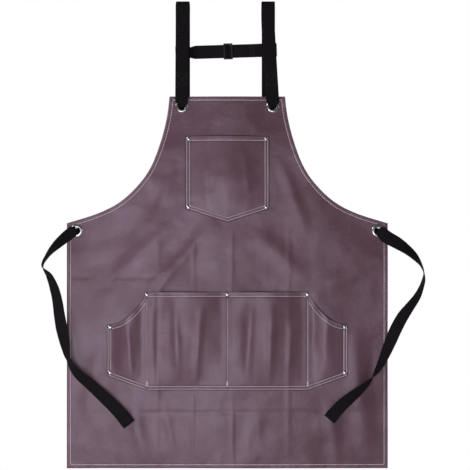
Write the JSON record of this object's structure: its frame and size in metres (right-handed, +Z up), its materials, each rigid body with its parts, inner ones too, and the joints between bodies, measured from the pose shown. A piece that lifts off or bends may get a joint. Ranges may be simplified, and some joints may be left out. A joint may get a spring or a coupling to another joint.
{
  "type": "work apron",
  "caption": "Bib work apron of split leather with turned hems, a pointed chest pocket, a divided tool pocket strip, eyelets, webbing shoulder straps and waist ties.",
  "frame": {"origin": "on the axis of the rail or hook that both shoulder straps fold over, midway across the apron", "axes": "+X across the apron towards the viewer's right, -Y out of the front, +Z up from hem to straps"},
  "size_m": [0.7131, 0.0507, 0.8733],
  "materials": {
    "leather": "smooth split leather, soft sheen, light topstitching",
    "pocket_leather": "smooth split leather, soft sheen, light topstitching",
    "strap_webbing": "matt black polyester webbing",
    "tie_webbing": "matt black polyester webbing",
    "link_webbing": "matt black polyester webbing",
    "eyelet_nickel": "bright nickel plate",
    "rivet_nickel": "bright nickel plate, slightly darkened",
    "slider_plastic": "satin moulded acetal"
  },
  "bodies": {
    "apron": {"apron_panel": "leather", "chest_pocket": "pocket_leather", "waist_pocket": "pocket_leather", "left_bib_eyelet": "eyelet_nickel", "left_bib_eyelet_washer": "eyelet_nickel", "right_bib_eyelet": "eyelet_nickel", "right_bib_eyelet_washer": "eyelet_nickel", "left_waist_eyelet": "eyelet_nickel", "left_waist_eyelet_washer": "eyelet_nickel", "right_waist_eyelet": "eyelet_nickel", "right_waist_eyelet_washer": "eyelet_nickel", "chest_rivet_1": "rivet_nickel", "chest_rivet_1_back": "rivet_nickel", "chest_rivet_2": "rivet_nickel", "chest_rivet_2_back": "rivet_nickel", "chest_rivet_3": "rivet_nickel", "chest_rivet_3_back": "rivet_nickel", "chest_rivet_4": "rivet_nickel", "chest_rivet_4_back": "rivet_nickel", "waist_rivet_1": "rivet_nickel", "waist_rivet_1_back": "rivet_nickel", "waist_rivet_2": "rivet_nickel", "waist_rivet_2_back": "rivet_nickel", "waist_rivet_3": "rivet_nickel", "waist_rivet_3_back": "rivet_nickel", "waist_rivet_4": "rivet_nickel", "waist_rivet_4_back": "rivet_nickel", "waist_rivet_5": "rivet_nickel", "waist_rivet_5_back": "rivet_nickel", "waist_rivet_6": "rivet_nickel", "waist_rivet_6_back": "rivet_nickel", "waist_rivet_7": "rivet_nickel", "waist_rivet_7_back": "rivet_nickel", "left_shoulder_strap": "strap_webbing", "right_shoulder_strap": "strap_webbing"},
    "link": {"link_strap": "link_webbing"},
    "slider": {"link_slider": "slider_plastic"},
    "left_tie": {"left_tie": "tie_webbing"},
    "right_tie": {"right_tie": "tie_webbing"}
  },
  "joints": [
    {"name": "link_slide", "type": "slide", "parent": "apron", "child": "link", "axis": [0, 0, 1], "range_m": [-0.06, 0.05]},
    {"name": "slider_slide", "type": "slide", "parent": "link", "child": "slider", "axis": [0.9995, 0, 0.0314], "range_m": [-0.045, 0.008]},
    {"name": "left_tie_swing", "type": "hinge", "parent": "apron", "child": "left_tie", "pos_m": [-0.282, -0.0047, -0.421], "axis": [0, 1, 0], "range_deg": [-20, 80]},
    {"name": "right_tie_swing", "type": "hinge", "parent": "apron", "child": "right_tie", "pos_m": [0.282, -0.0047, -0.421], "axis": [0, 1, 0], "range_deg": [-80, 20]}
  ]
}
